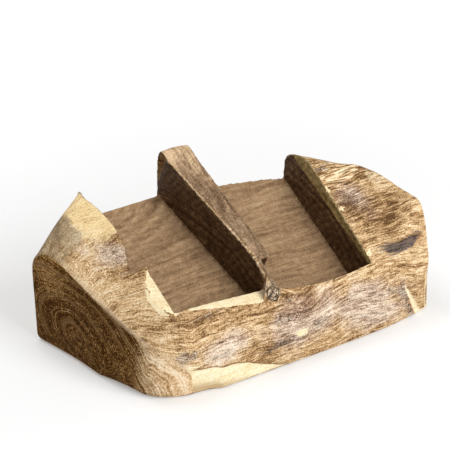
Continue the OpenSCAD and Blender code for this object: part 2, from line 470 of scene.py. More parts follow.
def left_trough(p):
    """Depth inside the left trough (positive inside), and the place along and above its floor."""
    across, along, above = trough_place(p, LEFT_SEAT)
    t = np.clip((along - LEFT_NARROW_L) / (TROUGH_L - LEFT_NARROW_L), 0, 1)
    low = np.where(along < LEFT_NARROW_L, -LEFT_FRONT_W, -LEFT_BACK_W + LEFT_BOW * np.sin(math.pi * t))
    high = -DIVIDER_LEFT_LEAN * along / TROUGH_L
    inside = np.minimum(np.minimum(across - low, high - across), along)
    return np.minimum(inside, above), along, above


def right_trough(p):
    """Depth inside the right trough, the place along and above its floor, and from its right wall."""
    across, along, above = trough_place(p, RIGHT_SEAT)
    at_foot = -FOOT_W - DIVIDER_LEFT_LEAN * along / TROUGH_L
    low = np.where(along < FOOT_L, at_foot, -DIVIDER_RIGHT_LEAN * along / TROUGH_L)
    from_right = RIGHT_W + RIGHT_FLARE * along / TROUGH_L - across
    t = np.clip((across + FOOT_W) / (RIGHT_W + FOOT_W), 0, 1)
    along = along + RIGHT_SKEW * t + RIGHT_BOW * np.sin(math.pi * t)
    inside = np.minimum(np.minimum(across - low, from_right), along)
    return np.minimum(inside, above), along, above, from_right


class Places:
    """Where the rough block's points are, and which of its sides they are on."""

    def __init__(self, p):
        self.p = p.copy()
        self.x, self.y, self.z = self.p.T
        self.left_in, self.left_along, self.left_above = left_trough(self.p)
        self.right_in, self.right_along, self.right_above, self.from_right = right_trough(self.p)
        self.in_left = self.left_in > -WALL_SKIN
        self.in_right = self.right_in > -WALL_SKIN
        self.under_ridge = np.interp(self.x, [q[0] for q in RIDGE], [q[2] for q in RIDGE]) - self.z
        self.under_bark = np.interp(self.x, BARK_X, BARK_Z) - self.z + 1.5 * noise(self.p, 14, 11, 2)
        self.left_border = self.x + 2.5 * noise(self.p, 12, 12, 2)
        self.beside_sliver = self.x - np.interp(self.z, SLIVER_Z, SLIVER_X)

    def find_sides(self, surface):
        """Floors and walls of the troughs, the underside and the outside."""
        sharp = surface.normals()
        soft = unit(surface.smoothed(sharp, 6))
        on_left_floor = self.in_left & (self.left_above < FLOOR_SKIN)
        on_right_floor = self.in_right & (self.right_above < FLOOR_SKIN)
        self.floor = (on_left_floor | on_right_floor).astype(float)
        self.wall = (self.in_left | self.in_right) * (1 - self.floor) * (sharp[:, 2] < 0.62)
        self.in_trough = np.maximum(self.floor, self.wall)
        self.bottom = ramp(-soft[:, 2], 0.6, 0.85)
        self.outer = (1 - self.in_trough) * (1 - self.bottom)

    def find_facing(self, surface):
        """Which way the softened surface faces, its top, and the facet at the lower left of the front."""
        self.facing = unit(surface.smoothed(surface.normals(), 4))
        self.top = ramp(self.facing[:, 2], 0.1, 0.4) * self.outer
        facing_front = ramp(-self.facing[:, 1], 0.4, 0.6)
        self.on_facet = facing_front * ramp(self.left_border, -127, -120) * ramp(self.x, 8, 0)


# Shape of the block

def sweep_left_end(surface, at):
    """Below the ridge, the left end turns into the front in one round sweep."""
    share = ramp(at.under_ridge, 1, 9) * ramp(at.x, -84, -106) * ramp(at.y, -2, -34)
    surface.p[:, :2] = surface.eased(surface.p[:, :2], 500, 0.95 * share)


def soften_ridge(surface, at):
    near = distance_to(at.p, RIDGE[:6])
    surface.p = surface.eased(surface.p, 130, 0.6 * ramp(near, 24, 6) * ramp(at.y, 104, 72))
    near = distance_to(at.p, RIDGE[5:8])
    surface.p = surface.eased(surface.p, 24, 0.5 * ramp(near, 14, 4))


def soften_corners(surface, at):
    for line, rounds in SOFT_CORNERS:
        near = distance_to(at.p, line)
        surface.p = surface.smoothed(surface.p, rounds, 0.5 * ramp(near, 24, 6) * (1 - at.bottom))


def gouges(p, along, above, seed):
    """Waves that a gouge leaves across a trough."""
    return np.sin(2 * math.pi * (along + 0.35 * above + 5 * noise(p, 30, seed)) / 8.5)


def carve(surface, at):
    """Moves points along their normals: waves, gouge marks, ragged rims, dents, chips and facets."""
    p = at.p
    outside = surface.smoothed(at.outer, 3)
    go_in = outside * (0.75 + 0.75 * noise(p, 70, 1))
    go_in += outside * (0.22 + 0.22 * noise(p, 19, 2))
    go_in += outside * 0.1 * (1 + noise(p, (60, 5, 5), 3, 2))

    marks_left = gouges(p, at.left_along, at.left_above, 5)
    marks_right = gouges(p, at.right_along, at.right_above, 6)
    at.marks = np.where(at.in_left, marks_left, marks_right)
    go_in += at.in_trough * (0.3 + 0.22 * at.marks + 0.25 * noise(p, 9, 7, 2) + 0.3 * noise(p, 40, 8))

    rim = np.minimum(np.abs(at.left_in), np.abs(at.right_in))
    go_in += ramp(rim, 4, 0.5) * (1 - at.floor) * np.maximum(0, noise(p, 6.5, 9, 2) - 0.15) * 0.9

    at.pit = np.zeros(len(p))
    for place, radius, depth in DENTS:
        go_in += depth * blob(p, place, radius)
        at.pit = np.maximum(at.pit, blob(p, place, radius * 0.8))
    at.chip = np.zeros(len(p))
    ragged = np.clip(1 + 1.1 * noise(p, 2.6, 14, 2), 0, 1.4)
    for place, radius, depth in CHIPS:
        chip = blob(p, place, radius) * ragged
        go_in += depth * chip
        at.chip = np.maximum(at.chip, chip)
    go_in += at.on_facet * ramp(at.under_bark, -0.5, 1.6) * 1.5

    corner = np.maximum(0, (p - CORNER_AT) @ CORNER_N) * ramp(at.z, 76, 30) * ramp(at.x, 150, 160)
    surface.p = surface.p - surface.normals() * go_in[:, None] - corner[:, None] * CORNER_N
    for centre, radii, push in SWELLINGS:
        surface.p = surface.p + blob(p, centre, radii)[:, None] * push
    surface.p = surface.smoothed(surface.p, 1, 0.25)
    low, high = (np.array(c) / MM for c in cad_box)
    surface.p = np.clip(surface.p, low + BOX_ROOM, high - BOX_ROOM)
    surface.p[:, 2] = np.maximum(surface.p[:, 2], PAD_T)


# Fields of the block's material

def store_wear(surface, at):
    """Wear on edges, painted shade in hollows, pits."""
    flat = surface.smoothed(surface.p, 14)
    bulge = ((surface.p - flat) * surface.normals()).sum(1)
    # The bulge gives both the wear on edges and the painted shade in hollows.
    surface.store("bulge", bulge, 1)
    surface.store("pit", at.pit)


def store_grain(surface, at):
    """Fibres run along the log at a steady angle about its pith, sway, and part round the knot."""
    p = at.p
    v, w = at.y - PITH_Y, at.z - PITH_Z
    side = np.arctan2(v, w) * FIBRE_R + np.interp(at.x, RUN_X, RUN_SIDE) + summed(p, SWIRLS)
    for share, size, seed in [(9, (130, 80, 80), 21), (3.6, (52, 34, 34), 22), (1.3, (20, 14, 14), 23)]:
        side += share * noise(p, size, seed)
    knot_side = np.arctan2(KNOT_AT[1] - PITH_Y, KNOT_AT[2] - PITH_Z) * FIBRE_R + KNOT_RUN
    from_knot = np.linalg.norm((p - KNOT_AT) / (1.5, 1, 1), axis=1)
    side += (knot_side - side) * 0.85 * np.exp(-(from_knot / 20) ** 2)
    surface.store("grain", np.stack([at.x + 6 * noise(p, 40, 24), np.hypot(v, w), side], 1))


def store_rings(surface, at):
    """Growth rings on the left end, drawn out towards the front, and where they show."""
    p = at.p
    v, w = at.y - RINGS_Y, at.z - RINGS_Z
    c, s = RINGS_ALONG
    ring = np.hypot((c * v + s * w) / RINGS_STRETCH, c * w - s * v)
    surface.store("ring", ring + 4 * noise(p, 45, 27) + 1.2 * noise(p, 14, 29))
    surface.store("ringed", 0.35 + 0.65 * ramp(at.z + 0.3 * at.y, 36, 56) + 0.5 * ramp(at.y, -10, -50))


def store_ends(surface, at):
    """End grain on the two ends, with painted light and shade on the left one, and the painted highlight
    along the ridge over it.
    """
    nx, nz = at.facing[:, 0], at.facing[:, 2]
    # The left end, found by the way it faces, is dark end grain and also painted shade.
    end_left = ramp(-nx, 0.3, 0.6) * ramp(nz, 0.62, 0.28) * at.outer
    turn = ramp(at.left_border, -114, -122) * ramp(at.under_ridge, 0, 5) * ramp(at.y, -20, -60) * at.outer
    end_right = ramp(nx, 0.5, 0.75) * ramp(nz, 0.6, 0.35) * at.outer
    surface.store("end_left", np.maximum(end_left, turn), 2)
    surface.store("end_right", end_right, 2)
    # Painted light at the rounded top back of the left end, lighter towards the front, and a band of painted
    # shade under the ridge.
    end_tone = summed(at.p, END_PAINTED_LIGHT) + 0.42 * ramp(at.y, -28, -78)
    surface.store("end_tone", end_tone - 0.14 * np.exp(-((at.under_ridge - 12) / 8) ** 2))
    surface.store("front_share", ramp(at.y, -44, -94))
    # Painted highlight along the ridge over the left end.
    surface.store("ridge", np.exp(-(distance_to(at.p, RIDGE) / 4) ** 2) * at.outer)


def store_fresh_wood(surface, at):
    """Crisp pale wood: torn facet, cut lip, a notch by the knot, chips, and the facet under the bark line."""
    x, y, z = at.x, at.y, at.z
    torn = ((x > -128.5 - np.interp(y, TORN_Y, TORN_W)) & (x < TORN_EDGE) & (y > -71) & (y < TORN_Y[-1])
            & (np.abs(z - torn_height(x, y)) < 1.4))
    lip = ((np.abs((at.p - LIP_AT) @ LIP_N) < 1.0) & (x > -110) & (x < -9) & (y > -95)
           & (at.left_along < 1.0) & (at.facing[:, 2] > 0.6))
    notch = np.linalg.norm(at.p - (KNOT_AT + 12 * KNOT_SIDE + 2.5 * KNOT_UP), axis=1) < 3.6
    fresh = torn | lip | notch | (at.chip > 0.5)
    surface.store("fresh", fresh.astype(float), 1)
    surface.store("bark", at.under_bark)
    surface.store("facet", at.on_facet)


def store_pale_wood(surface, at):
    """Soft pale zones, such as the left cheek's tip and the right front edge, and the olive-tinted painted
    shade on the left cheek.
    """
    p, x, y, z = at.p, at.x, at.y, at.z
    down = y - (50 - (x + 160) * 1.67) + 5 * noise(p, 12, 15, 2)
    tip = 0.68 * ramp(down, -24, 14) + 0.32 * ramp(down, 14, 36)
    tip = tip * ramp(y, 24, 42) * ramp(x, -112, -122) * at.top
    # Painted shade, olive-tinted, on the facet of the left cheek that faces away to the left.
    shade = ramp(x + 4 * noise(p, 9, 17, 2), -160, -172) * ramp(z, 162, 151) * ramp(y, 44, 60) * at.top
    surface.store("shade", shade * (0.75 + 0.25 * ramp(z, 132, 142)), 2)
    beside = at.beside_sliver
    sliver = np.exp(-(beside / np.interp(z, SLIVER_Z, SLIVER_W)) ** 2) * ramp(beside, -0.7, 0.5)
    sliver = sliver * ramp(z, 53, 44) * (y < -92)
    edge = 0.85 * ramp(at.facing[:, 0], 0.2, 0.5) * at.outer * ramp(x, 150, 170) * ramp(y, -30, -64)
    pale = np.maximum.reduce([tip * (1 - 0.9 * shade), sliver, edge, strongest(p, PALE_ZONES)])
    surface.store("pale", pale, 2)


def store_stains(surface, at):
    """Grey and purple stains, and the dark oblong one on the right cheek."""
    beside = at.beside_sliver
    purple = ramp(beside, 0.4, -1.2) * np.exp(-((beside + 4) / 9) ** 2) * ramp(at.z, 58, 44) * (at.y < -92)
    grey = np.maximum(strongest(at.p, GREY_ZONES), 0.95 * purple)
    surface.store("grey", grey, 2)
    q = at.p - STAIN_AT
    oblong = np.exp(-(q[:, 0] / STAIN_L) ** 2 - ((q[:, 2] - STAIN_SLOPE * q[:, 0]) / STAIN_W) ** 2)
    surface.store("stain", oblong * at.outer * (at.y < -60), 1)


def store_divider(surface, at):
    """The divider's mottled top, and the mottled wood round the knot at its foot."""
    p, x, y, z = at.p, at.x, at.y, at.z
    divider = ((x < 16 - 0.1 * (y + 45)) & (x > -10 - 0.22 * (y + 45)) & (y > -72)) * at.outer
    over_floor = z - (46 + math.tan(TILT) * (y + 48)) + 9 * noise(p, (9, 40, 30), 16, 2)
    surface.store("divider", divider * ramp(over_floor, -14, 8), 1)
    surface.store("back_share", 0.5 * ramp(y, 46, 84) - 0.12 * ramp(y, -36, -62))
    off = p - KNOT_AT
    aside, rise = off @ KNOT_SIDE - 1, off @ KNOT_UP - 2
    reach = np.hypot(aside, rise * np.where(rise > 0, 0.8, 1.15))
    reach += 3.2 * noise(p, 5.5, 51, 2) + 1.6 * noise(p, 2.2, 52)
    surface.store("knotty", ramp(reach, 11.5, 8) * (y < -58), 1)
    surface.store("knot_place", off)


def store_tones(surface, at):
    """Where the wood is pinkish, reddish, mottled, boldly streaked, lighter or darker."""
    surface.store("rosy", strongest(at.p, ROSY_ZONES), 2)
    surface.store("reddish", strongest(at.p, REDDISH_ZONES))
    calm = ramp(at.y, -24, 20) * ramp(at.x, -112, -122) * at.top
    surface.store("calm", calm, 4)
    surface.store("bold", strongest(at.p, BOLD_ZONES) * at.top)
    surface.store("tone", summed(at.p, TONE_ZONES), 2)


def store_cuts(surface, at):
    """Walls and floors of the troughs, and the olive strip along the top of the right one's wall, which is
    painted light.
    """
    surface.store("wall", at.wall, 1)
    surface.store("floor", at.floor, 1)
    surface.store("saw", at.marks)
    # The strip is the lit top of the right wall, painted light above the painted shade on that wall.
    strip = at.in_right & (at.from_right < 3) & (at.right_along > 2)
    surface.store("strip", strip * ramp(at.right_above + 2.5 * noise(at.p, 30, 31), 40, 48))


def sculpt_block():
    """The carved block's mesh, with the fields of its material."""
    surface = Surface(rough_copy())
    at = Places(surface.p)
    surface.p = surface.smoothed(surface.p, 2, 0.4)
    sweep_left_end(surface, at)
    at.find_sides(surface)
    soften_ridge(surface, at)
    at.find_facing(surface)
    soften_corners(surface, at)
    carve(surface, at)
    for store in (store_wear, store_grain, store_rings, store_ends, store_fresh_wood, store_pale_wood,
                  store_stains, store_divider, store_tones, store_cuts):
        store(surface, at)
    surface.write()
    for face in surface.mesh.polygons:
        face.use_smooth = True
    return surface.mesh


# Materials

class Graph:
    """The nodes of a material or world, with short names for the common ones."""

    def __init__(self, name, kind="materials"):
        self.owner = getattr(bpy.data, kind).new(name)
        self.owner.use_nodes = True
        self.tree = self.owner.node_tree
        self.tree.nodes.clear()

    def give(self, socket, value):
        if isinstance(value, bpy.types.NodeSocket):
            self.tree.links.new(value, socket)
        elif isinstance(value, (tuple, list)) and len(value) == 3 and socket.type == "RGBA":
            socket.default_value = (*value, 1)
        else:
            socket.default_value = value

    def add(self, kind, **inputs):
        node = self.tree.nodes.new("ShaderNode" + kind)
        for name, value in inputs.items():
            self.give(node.inputs[name.replace("_", " ")], value)
        return node

    def field(self, name, vector=False):
        node = self.add("Attribute")
        node.attribute_name = name
        return node.outputs["Vector" if vector else "Fac"]

    def math(self, operation, a, b=0.0):
        node = self.add("Math")
        node.operation = operation
        self.give(node.inputs[0], a)
        self.give(node.inputs[1], b)
        return node.outputs[0]

    def plus(self, *terms):
        return reduce(partial(self.math, "ADD"), terms)

    def times(self, *terms):
        return reduce(partial(self.math, "MULTIPLY"), terms)

    def less(self, a, b):
        return self.math("SUBTRACT", a, b)

    def step(self, value, low, high, to_low=0.0, to_high=1.0):
        node = self.add("MapRange")
        node.interpolation_type = "SMOOTHSTEP"
        for k, item in enumerate((value, low, high, to_low, to_high)):
            self.give(node.inputs[k], item)
        return node.outputs[0]

    def noise(self, vector, size, detail=2.0, rough=0.5, distort=0.0):
        """Noise with lumps of that size (one length, or one for each axis)."""
        scaled = self.add("VectorMath")
        scaled.operation = "DIVIDE"
        self.give(scaled.inputs[0], vector)
        scaled.inputs[1].default_value = size if isinstance(size, tuple) else (size,) * 3
        node = self.add("TexNoise", Vector=scaled.outputs[0], Scale=1, Detail=detail, Roughness=rough,
                        Distortion=distort)
        return node.outputs["Fac"]

    def noise_along(self, value, detail):
        node = self.add("TexNoise")
        node.noise_dimensions = "1D"
        for name, item in {"W": value, "Scale": 1, "Detail": detail, "Roughness": 0.5}.items():
            self.give(node.inputs[name], item)
        return node.outputs["Fac"]

    def colours(self, value, stops):
        node = self.add("ValToRGB")
        while len(node.color_ramp.elements) < len(stops):
            node.color_ramp.elements.new(0.5)
        for element, (place, colour) in zip(node.color_ramp.elements, stops.items()):
            element.position = place
            element.color = (*colour, 1)
        self.give(node.inputs[0], value)
        return node.outputs[0]

    def mix(self, share, a, b):
        node = self.add("Mix")
        node.data_type = "RGBA"
        for k, item in ((0, share), (6, a), (7, b)):
            self.give(node.inputs[k], item)
        return node.outputs[2]

    def bump(self, height, distance, strength):
        return self.add("Bump", Height=height, Distance=distance, Strength=strength).outputs[0]

    def surface(self, colour, roughness, normal, specular):
        shader = self.add("BsdfPrincipled", Base_Color=colour, Roughness=roughness, Normal=normal,
                          Specular_IOR_Level=specular)
        return self.show(shader)

    def mixed(self, share, a, b):
        """Two shaders, the second one by a share."""
        both = self.add("MixShader", Fac=share)
        for k, shader in ((1, a), (2, b)):
            self.give(both.inputs[k], shader.outputs[0])
        return both

    def show(self, shader, output="OutputMaterial"):
        self.give(self.add(output).inputs[0], shader.outputs[0])
        return self.owner


class Wood(Graph):
    """The root wood's nodes, with the noises that its colours share."""

    def __init__(self, name):
        super().__init__(name)
        grain = self.field("grain", vector=True)
        spot = self.add("TexCoord").outputs["Object"]
        ring = self.field("ring")
        self.noises = {
            # along the fibres
            "broad": self.noise(grain, (130, 80, 22), 2),
            "mid": self.noise(grain, (56, 36, 5.0), 2, 0.55, 0.6),
            "fine": self.noise(grain, (24, 16, 2.0), 2, 0.55, 0.6),
            "hair": self.noise(grain, (12, 10, 1.1), 1, 0.5, 0.3),
            "vein": self.noise(grain, (100, 60, 9), 2, 0.5, 0.4),
            "pore": self.noise(grain, (5, 5, 0.8), 1, 0.5),
            # in all directions, and along the divider
            "cloud": self.noise(spot, 28 * MM, 2),
            "mottle": self.noise(spot, 7 * MM, 3, 0.6),
            "curl": self.noise(spot, 3.2 * MM, 2, 0.6, 1.6),
            "speck": self.noise(spot, 1.6 * MM, 1, 0.5),
            "lengthwise": self.noise(spot, (6 * MM, 45 * MM, 30 * MM), 3, 0.6, 0.4),
            # across the growth rings
            "arcs": self.noise_along(self.times(ring, 1 / 9.0), 0),
            "rings": self.noise_along(self.times(ring, 1 / 6.0), 1),
            "fine_rings": self.noise_along(self.times(ring, 1 / 1.8), 1),
        }

    def varied(self, start, **shares):
        """A start value plus the named noises, each made to lie about zero, times their shares."""
        terms = [self.times(self.less(self.noises[name], 0.5), share) for name, share in shares.items()]
        return self.plus(start, *terms)

    def zone(self, name, low, high, **shares):
        """Where a stored zone shows, its border broken up by the named noises."""
        return self.step(self.varied(self.field(name), **shares), low, high)

    def lay(self, over, *shares):
        """Lays a colour over the wood's colour so far, by the product of the shares."""
        self.colour = self.mix(self.times(*shares), self.colour, over)


def wood_value(g):
    """Light and dark of the wood: streaks along the fibres, mottles on the upper left cheek."""
    calm, shade = g.field("calm"), g.field("shade")
    strength = g.plus(1.0, g.times(calm, -0.5), g.times(shade, -0.2), g.times(g.field("bold"), 1.2))
    streaks = g.times(g.varied(0.0, mid=0.6, fine=0.95, hair=1.25), strength)
    curls = g.times(calm, g.less(1.2, g.times(shade, 0.6)), g.varied(0.0, curl=1.0))
    mottles = g.plus(g.varied(0.0, mottle=0.35), g.times(calm, g.varied(0.0, mottle=0.2)), curls)
    specks = g.times(g.varied(0.0, speck=1.0), g.less(1.15, g.times(shade, 0.55)))
    return g.plus(g.varied(0.485, broad=0.95, cloud=0.65), streaks, mottles, specks, g.field("tone"))


def lay_heartwood(g, value):
    """Golden, pinkish and reddish wood, with dark figure lines along the grain."""
    gold = g.colours(value, {
        0.0: (0.12, 0.058, 0.02), 0.2: (0.27, 0.15, 0.062), 0.4: (0.48, 0.295, 0.14),
        0.58: (0.66, 0.445, 0.23), 0.78: (0.82, 0.61, 0.365), 1.0: (0.92, 0.77, 0.53)})
    rose = g.colours(value, {
        0.0: (0.11, 0.067, 0.046), 0.2: (0.25, 0.163, 0.115), 0.4: (0.46, 0.325, 0.232),
        0.58: (0.64, 0.482, 0.352), 0.78: (0.8, 0.65, 0.5), 1.0: (0.9, 0.79, 0.65)})
    red = g.colours(value, {
        0.0: (0.09, 0.038, 0.018), 0.5: (0.4, 0.225, 0.125), 1.0: (0.74, 0.53, 0.36)})
    rosy = g.zone("rosy", 0.15, 0.85, cloud=1.2, broad=0.9)
    g.colour = g.mix(rosy, gold, rose)
    g.lay(red, g.field("reddish"), 0.45)
    line = g.step(g.math("ABSOLUTE", g.varied(0.0, vein=1.0)), 0.0, 0.02, 1.0, 0.0)
    line = g.times(line, g.step(g.noises["broad"], 0.4, 0.58), g.less(1.0, g.field("calm")))
    g.lay((0.14, 0.072, 0.033), line, 0.34)


def lay_stains(g, value):
    """Grey and purple stains, the dark stain on the right cheek, and the olive-tinted painted shade on the
    left one.
    """
    grey = g.zone("grey", 0.34, 0.8, mid=1.2, fine=0.9, mottle=1.2, cloud=0.8)
    grey_colour = g.colours(g.varied(value, speck=0.7, hair=0.5), {
        0.0: (0.04, 0.028, 0.021), 0.4: (0.18, 0.128, 0.094), 0.7: (0.36, 0.272, 0.203),
        1.0: (0.62, 0.5, 0.385)})
    g.lay(grey_colour, grey, 0.82)
    stain = g.zone("stain", 0.3, 0.46, mid=0.8, fine=0.8, speck=0.5)
    stain_colour = g.colours(g.varied(0.42, fine=2.2, speck=1.6), {
        0.1: (0.022, 0.016, 0.015), 0.9: (0.16, 0.12, 0.108)})
    g.lay(stain_colour, stain, 0.94)
    # Painted shade on the left cheek, olive-tinted.
    shade = g.zone("shade", 0.1, 0.9, mottle=0.7, cloud=0.5)
    shade_colour = g.colours(value, {
        0.0: (0.1, 0.07, 0.04), 0.5: (0.38, 0.285, 0.168), 1.0: (0.72, 0.6, 0.42)})
    g.lay(shade_colour, shade, 0.85)


def sap_value(g):
    return g.varied(0.68, broad=0.4, mid=0.4, fine=0.8, hair=0.8, speck=1.2)


def sap_colour(g):
    return g.colours(sap_value(g), {
        0.0: (0.58, 0.4, 0.19), 0.35: (0.84, 0.67, 0.38), 0.7: (0.94, 0.82, 0.54), 1.0: (0.97, 0.9, 0.69)})


def lay_pale_wood(g):
    """Soft pale zones, which are more golden on the upper left cheek."""
    golden = g.colours(g.varied(sap_value(g), curl=0.3), {
        0.0: (0.44, 0.28, 0.125), 0.35: (0.73, 0.52, 0.255), 0.7: (0.88, 0.665, 0.345),
        1.0: (0.95, 0.78, 0.47)})
    pale = g.zone("pale", 0.3, 0.8, mid=0.6, mottle=0.6)
    pale_colour = g.mix(g.field("calm"), sap_colour(g), golden)
    g.lay(pale_colour, pale, 0.9)


def lay_divider(g):
    """Mottled top of the divider."""
    mottled = g.plus(g.varied(0.34, mottle=0.7, lengthwise=1.9, speck=0.9), g.field("back_share"))
    mottled_colour = g.colours(mottled, {
        0.0: (0.07, 0.038, 0.02), 0.4: (0.22, 0.138, 0.082), 0.7: (0.4, 0.268, 0.16),
        1.0: (0.68, 0.49, 0.3)})
    g.lay(mottled_colour, g.field("divider"), 0.9)


def left_end_share(g):
    return g.zone("end_left", 0.3, 0.7, mid=0.35)


def lay_left_end(g):
    """End grain of the left end, darkened partly as painted shade, which turns into tan wood at the front."""
    ringed = g.field("ringed")
    ring_value = g.times(g.varied(0.0, rings=0.8, fine_rings=0.65), ringed)
    end_value = g.plus(g.varied(0.365, mottle=1.0, speck=2.3), ring_value, g.field("end_tone"))
    # Dark end grain, made darker still as painted shade on the side turned from the lamps.
    end_colour = g.colours(end_value, {
        0.0: (0.03, 0.01, 0.001), 0.35: (0.087, 0.034, 0.005), 0.6: (0.175, 0.079, 0.016),
        0.85: (0.35, 0.19, 0.06), 1.0: (0.5, 0.305, 0.125)})
    arcs = g.times(g.step(g.noises["arcs"], 0.54, 0.66), ringed, 0.5)
    end_colour = g.mix(arcs, end_colour, (0.23, 0.130, 0.054))
    tan = g.colours(g.varied(0.6, rings=0.9, fine_rings=0.9, mottle=0.8, speck=1.7), {
        0.0: (0.28, 0.14, 0.05), 0.4: (0.62, 0.4, 0.2), 0.7: (0.86, 0.63, 0.39), 1.0: (0.95, 0.8, 0.58)})
    forward = g.zone("front_share", 0.0, 1.0, fine_rings=0.6, mottle=0.3)
    g.lay(g.mix(forward, end_colour, tan), left_end_share(g))


def lay_right_end(g):
    """End grain of the right end."""
    far_colour = g.colours(g.varied(0.5, rings=0.9, fine_rings=0.8, mottle=0.9, speck=1.5), {
        0.0: (0.16, 0.08, 0.03), 0.4: (0.4, 0.24, 0.11), 0.7: (0.62, 0.425, 0.225),
        1.0: (0.82, 0.64, 0.4)})
    far = g.zone("end_right", 0.35, 0.75, mottle=0.5, fine=0.4)
    g.lay(far_colour, far)


def lay_sapwood_facet(g):
    """Sapwood under the bark line, the line itself and the darker rim at the foot."""
    bark = g.varied(g.field("bark"), fine=1.4)
    facet = g.zone("facet", 0.3, 0.8, mottle=0.4)
    sap = g.times(g.step(bark, 0.2, 1.0), facet)
    g.lay(sap_colour(g), sap)
    line = g.times(g.step(bark, -2.2, -0.4), g.step(bark, 0.2, 1.2, 1.0, 0.0), facet)
    g.lay((0.22, 0.11, 0.045), line, 0.7)
    g.lay((0.45, 0.24, 0.085), g.step(bark, 15, 29), 0.6, sap)


def lay_painted_ridge_highlight(g):
    """Painted highlight: a pale line along the ridge over the left end."""
    ridge = g.zone("ridge", 0.3, 0.8, fine=0.6, speck=0.4)
    g.lay((0.76, 0.58, 0.38), ridge, 0.4)


def lay_cuts(g):
    """Cut walls and floors of the troughs; the walls' dark colour is partly painted shade, and the olive
    strip at the top of the right one is painted light.
    """
    saw = g.field("saw")
    cut_value = g.varied(0.45, rings=0.5, fine_rings=0.45, speck=1.1, mottle=0.9, cloud=0.6)
    cut_value = g.plus(cut_value, g.times(saw, 0.04))
    # Dark cut wood, made darker as painted shade: the bottles' shadow and the troughs' own shade.
    wall_colour_and_painted_shade = g.colours(cut_value, {
        0.0: (0.022, 0.01, 0.004), 0.5: (0.088, 0.043, 0.018), 1.0: (0.27, 0.155, 0.075)})
    g.lay(wall_colour_and_painted_shade, g.field("wall"))
    # Painted light: the olive wood at the lit top of the right wall.
    olive = g.colours(cut_value, {
        0.0: (0.1, 0.062, 0.02), 0.5: (0.31, 0.215, 0.08), 1.0: (0.58, 0.44, 0.21)})
    g.lay(olive, g.zone("strip", 0.35, 0.65, fine=0.8))
    floor_value = g.varied(0.45, broad=0.6, mid=0.7, fine=0.5, mottle=0.7, speck=0.7)
    floor_colour = g.colours(g.plus(floor_value, g.times(saw, 0.06)), {
        0.0: (0.12, 0.066, 0.031), 0.5: (0.33, 0.205, 0.11), 1.0: (0.56, 0.39, 0.225)})
    g.lay(floor_colour, g.field("floor"))


def lay_wear(g):
    """Fresh torn wood, wear on edges, painted shade in hollows, pits."""
    fresh, bulge = g.field("fresh"), g.field("bulge")
    fresh_colour = g.colours(g.varied(0.6, fine=0.9, mottle=0.5, speck=1.3), {
        0.0: (0.55, 0.37, 0.17), 0.45: (0.85, 0.67, 0.39), 1.0: (0.96, 0.87, 0.63)})
    g.lay(fresh_colour, g.step(fresh, 0.35, 0.65))
    worn = g.times(g.step(g.varied(bulge, fine=0.5), 0.3, 0.9), 0.35)
    g.lay((0.80, 0.63, 0.41), worn)
    # Painted shade: darker in hollows, where shade falls, and less so on fresh wood.
    painted_hollow_shade = g.times(g.step(bulge, -0.3, -1.0), g.less(0.65, g.times(fresh, 0.55)))
    g.lay((0.06, 0.03, 0.013), painted_hollow_shade)
    g.lay((0.045, 0.026, 0.014), g.step(g.field("pit"), 0.35, 0.75), 0.85)


def knot_colour(g):
    """Mottles of the dead knot, which go on in the wood round it."""
    place = g.field("knot_place", vector=True)
    lump = g.noise(place, 3.4, 3, 0.6, 0.8)
    speck = g.noise(place, 1.0, 2, 0.6)
    value = g.plus(0.47, g.times(g.less(lump, 0.5), 3.0), g.times(g.less(speck, 0.5), 1.5))
    colour = g.colours(value, {
        0.1: (0.045, 0.026, 0.014), 0.35: (0.21, 0.14, 0.085), 0.6: (0.42, 0.31, 0.205),
        0.9: (0.72, 0.58, 0.41)})
    return colour, lump, speck


def wood_material():
    g = Wood("carved_root_wood")
    value = wood_value(g)
    lay_heartwood(g, value)
    lay_stains(g, value)
    for lay in (lay_pale_wood, lay_divider, lay_left_end, lay_right_end, lay_sapwood_facet, lay_painted_ridge_highlight,
                lay_cuts, lay_wear):
        lay(g)
    g.lay(knot_colour(g)[0], g.field("knotty"), 0.9)
    pores = g.times(g.step(g.noises["pore"], 0.6, 0.72), 0.25)
    g.lay((0.10, 0.052, 0.022), pores)

    heights = {"mid": 0.5, "fine": 0.6, "hair": 0.3, "speck": 0.25}
    height = g.plus(*(g.times(g.noises[name], share) for name, share in heights.items()))
    height = g.plus(height, g.times(pores, -0.6))
    gloss = g.plus(0.02, g.times(g.less(1.0, left_end_share(g)), 0.08))
    return g.surface(g.colour, g.step(value, 0.1, 0.9, 0.66, 0.54), g.bump(height, 1.0 * MM, 0.4), gloss)


def knot_material():
    g = Graph("dead_knot_wood")
    colour, lump, speck = knot_colour(g)
    normal = g.bump(g.plus(lump, g.times(speck, 0.5)), 0.8 * MM, 0.6)
    return g.surface(colour, g.step(speck, 0.3, 0.7, 0.6, 0.75), normal, 0.25)


def felt_material():
    g = Graph("brown_felt")
    place = g.field("place", vector=True)
    fibre = g.noise(place, 0.5, 3, 0.7, 1.2)
    cloud = g.noise(place, 4.0, 2, 0.5)
    colour = g.colours(g.plus(g.times(fibre, 0.8), g.times(cloud, 0.3), -0.05), {
        0.2: (0.035, 0.018, 0.01), 0.5: (0.085, 0.046, 0.026), 0.8: (0.17, 0.1, 0.06)})
    normal = g.bump(fibre, 0.3 * MM, 0.7)
    return g.surface(colour, g.step(fibre, 0.3, 0.7, 0.9, 1.0), normal, 0.1)


